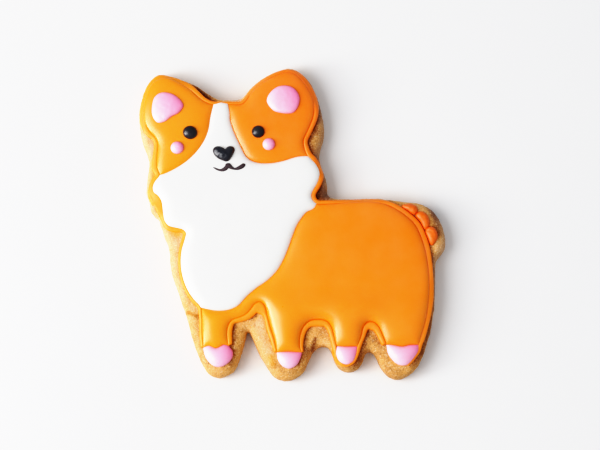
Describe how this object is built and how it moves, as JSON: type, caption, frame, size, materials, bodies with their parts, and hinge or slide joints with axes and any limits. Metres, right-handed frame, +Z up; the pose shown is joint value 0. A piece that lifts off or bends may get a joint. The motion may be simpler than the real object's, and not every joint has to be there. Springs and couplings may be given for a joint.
{
  "type": "iced gingerbread biscuit",
  "caption": "Flat gingerbread biscuit cut as a small dog standing side-on, iced in orange and white, with pink ears and toes, a piped edge and dots for the tail.",
  "frame": {"origin": "middle of the biscuit's box, on the underside that rests on the table", "axes": "+Z up through the icing, +Y towards the ears, +X towards the tail"},
  "size_m": [0.0974, 0.0998, 0.0105],
  "materials": {
    "gingerbread": "matte, finely grained",
    "orange_icing": "satin",
    "white_icing": "satin",
    "pink_icing": "satin",
    "black_icing": "soft gloss"
  },
  "bodies": {
    "root": {"biscuit": "gingerbread", "icing_head_left": "orange_icing", "icing_head_right": "orange_icing", "icing_coat": "orange_icing", "line_head": "orange_icing", "line_back": "orange_icing", "line_hind_legs": "orange_icing", "line_belly": "orange_icing", "line_front_legs": "orange_icing", "line_leg_1": "orange_icing", "line_chest": "orange_icing", "tail_bead_1": "orange_icing", "tail_bead_2": "orange_icing", "tail_bead_3": "orange_icing", "icing_white": "white_icing", "toe_1": "pink_icing", "toe_2": "pink_icing", "toe_3": "pink_icing", "toe_4": "pink_icing", "ear_left": "pink_icing", "ear_right": "pink_icing", "cheek_left": "pink_icing", "cheek_right": "pink_icing", "eye_left": "black_icing", "eye_right": "black_icing", "nose": "black_icing", "mouth": "black_icing"}
  },
  "joints": []
}
